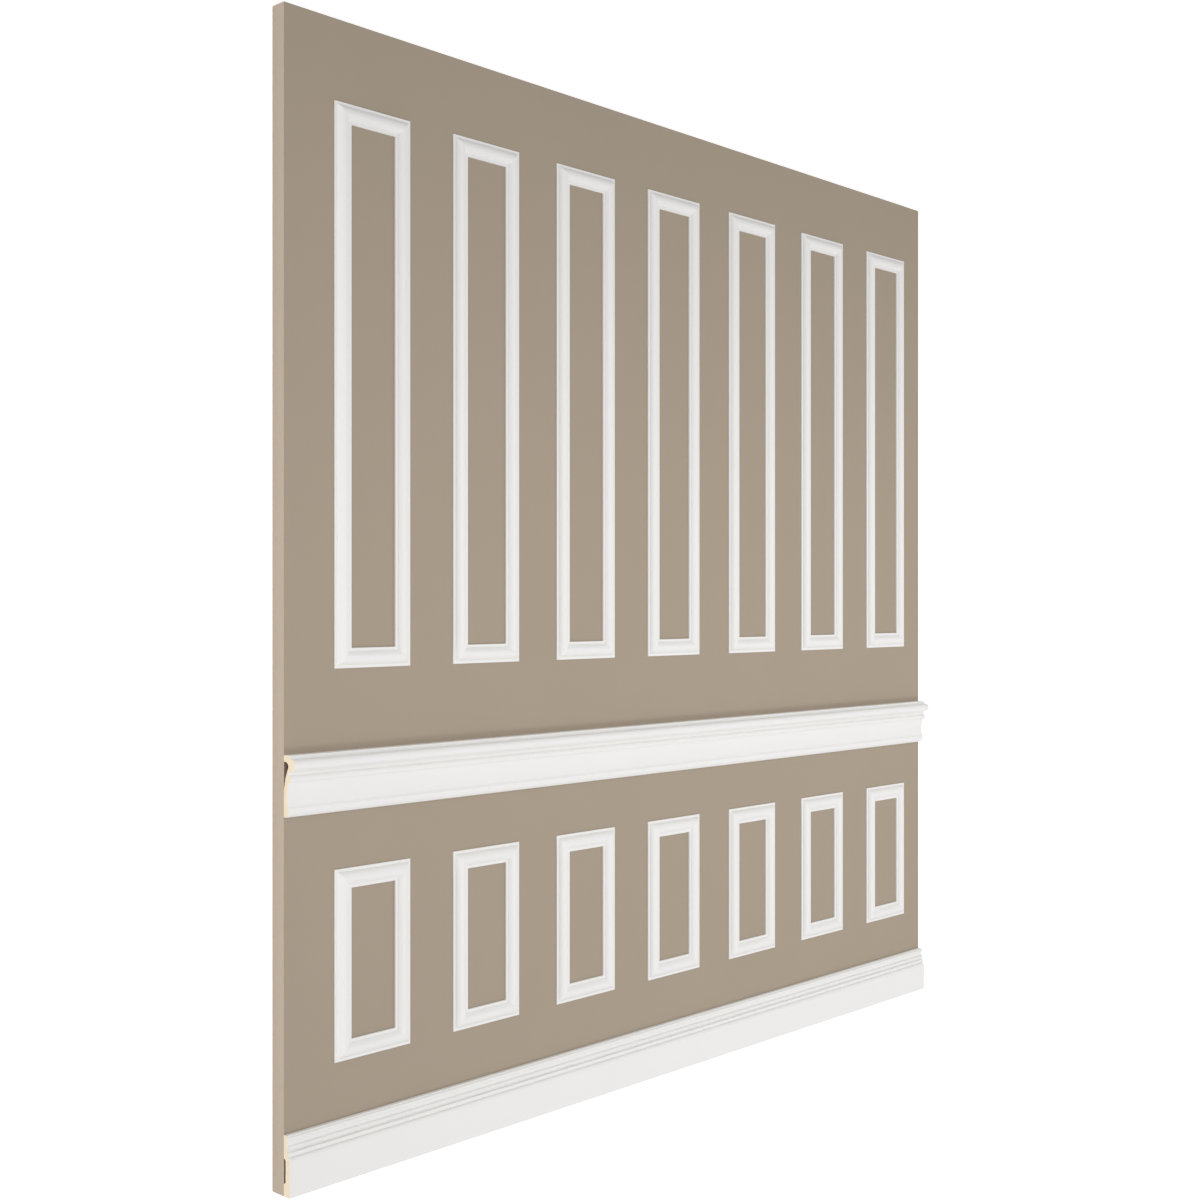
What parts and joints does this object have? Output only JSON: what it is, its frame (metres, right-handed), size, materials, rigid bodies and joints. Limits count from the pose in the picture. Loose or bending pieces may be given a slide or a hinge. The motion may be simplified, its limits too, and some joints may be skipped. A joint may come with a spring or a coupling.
{
  "type": "wainscot wall panel",
  "caption": "Painted wall board with a white baseboard, a chair rail and mitred panel-moulding frames above and below the rail; dresses a wall from floor to ceiling.",
  "frame": {"origin": "middle of the board's back face, which lies on the floor", "axes": "+X along the wall, towards the end with the narrower margin; +Y up the wall, from the baseboard to the top; +Z out of the wall face"},
  "size_m": [2.4004, 2.4384, 0.0784],
  "materials": {
    "wall_paint": "matte taupe wall paint on board",
    "white_moulding": "satin white coat on moulded polyurethane, raw cream at the cut ends"
  },
  "bodies": {
    "root": {"wall_board": "wall_paint", "baseboard": "white_moulding", "chair_rail": "white_moulding", "upper_frame_1_left": "white_moulding", "upper_frame_1_right": "white_moulding", "upper_frame_1_top": "white_moulding", "upper_frame_1_bottom": "white_moulding", "upper_frame_2_left": "white_moulding", "upper_frame_2_right": "white_moulding", "upper_frame_2_top": "white_moulding", "upper_frame_2_bottom": "white_moulding", "upper_frame_3_left": "white_moulding", "upper_frame_3_right": "white_moulding", "upper_frame_3_top": "white_moulding", "upper_frame_3_bottom": "white_moulding", "upper_frame_4_left": "white_moulding", "upper_frame_4_right": "white_moulding", "upper_frame_4_top": "white_moulding", "upper_frame_4_bottom": "white_moulding", "upper_frame_5_left": "white_moulding", "upper_frame_5_right": "white_moulding", "upper_frame_5_top": "white_moulding", "upper_frame_5_bottom": "white_moulding", "upper_frame_6_left": "white_moulding", "upper_frame_6_right": "white_moulding", "upper_frame_6_top": "white_moulding", "upper_frame_6_bottom": "white_moulding", "upper_frame_7_left": "white_moulding", "upper_frame_7_right": "white_moulding", "upper_frame_7_top": "white_moulding", "upper_frame_7_bottom": "white_moulding", "lower_frame_1_left": "white_moulding", "lower_frame_1_right": "white_moulding", "lower_frame_1_top": "white_moulding", "lower_frame_1_bottom": "white_moulding", "lower_frame_2_left": "white_moulding", "lower_frame_2_right": "white_moulding", "lower_frame_2_top": "white_moulding", "lower_frame_2_bottom": "white_moulding", "lower_frame_3_left": "white_moulding", "lower_frame_3_right": "white_moulding", "lower_frame_3_top": "white_moulding", "lower_frame_3_bottom": "white_moulding", "lower_frame_4_left": "white_moulding", "lower_frame_4_right": "white_moulding", "lower_frame_4_top": "white_moulding", "lower_frame_4_bottom": "white_moulding", "lower_frame_5_left": "white_moulding", "lower_frame_5_right": "white_moulding", "lower_frame_5_top": "white_moulding", "lower_frame_5_bottom": "white_moulding", "lower_frame_6_left": "white_moulding", "lower_frame_6_right": "white_moulding", "lower_frame_6_top": "white_moulding", "lower_frame_6_bottom": "white_moulding", "lower_frame_7_left": "white_moulding", "lower_frame_7_right": "white_moulding", "lower_frame_7_top": "white_moulding", "lower_frame_7_bottom": "white_moulding"}
  },
  "joints": []
}
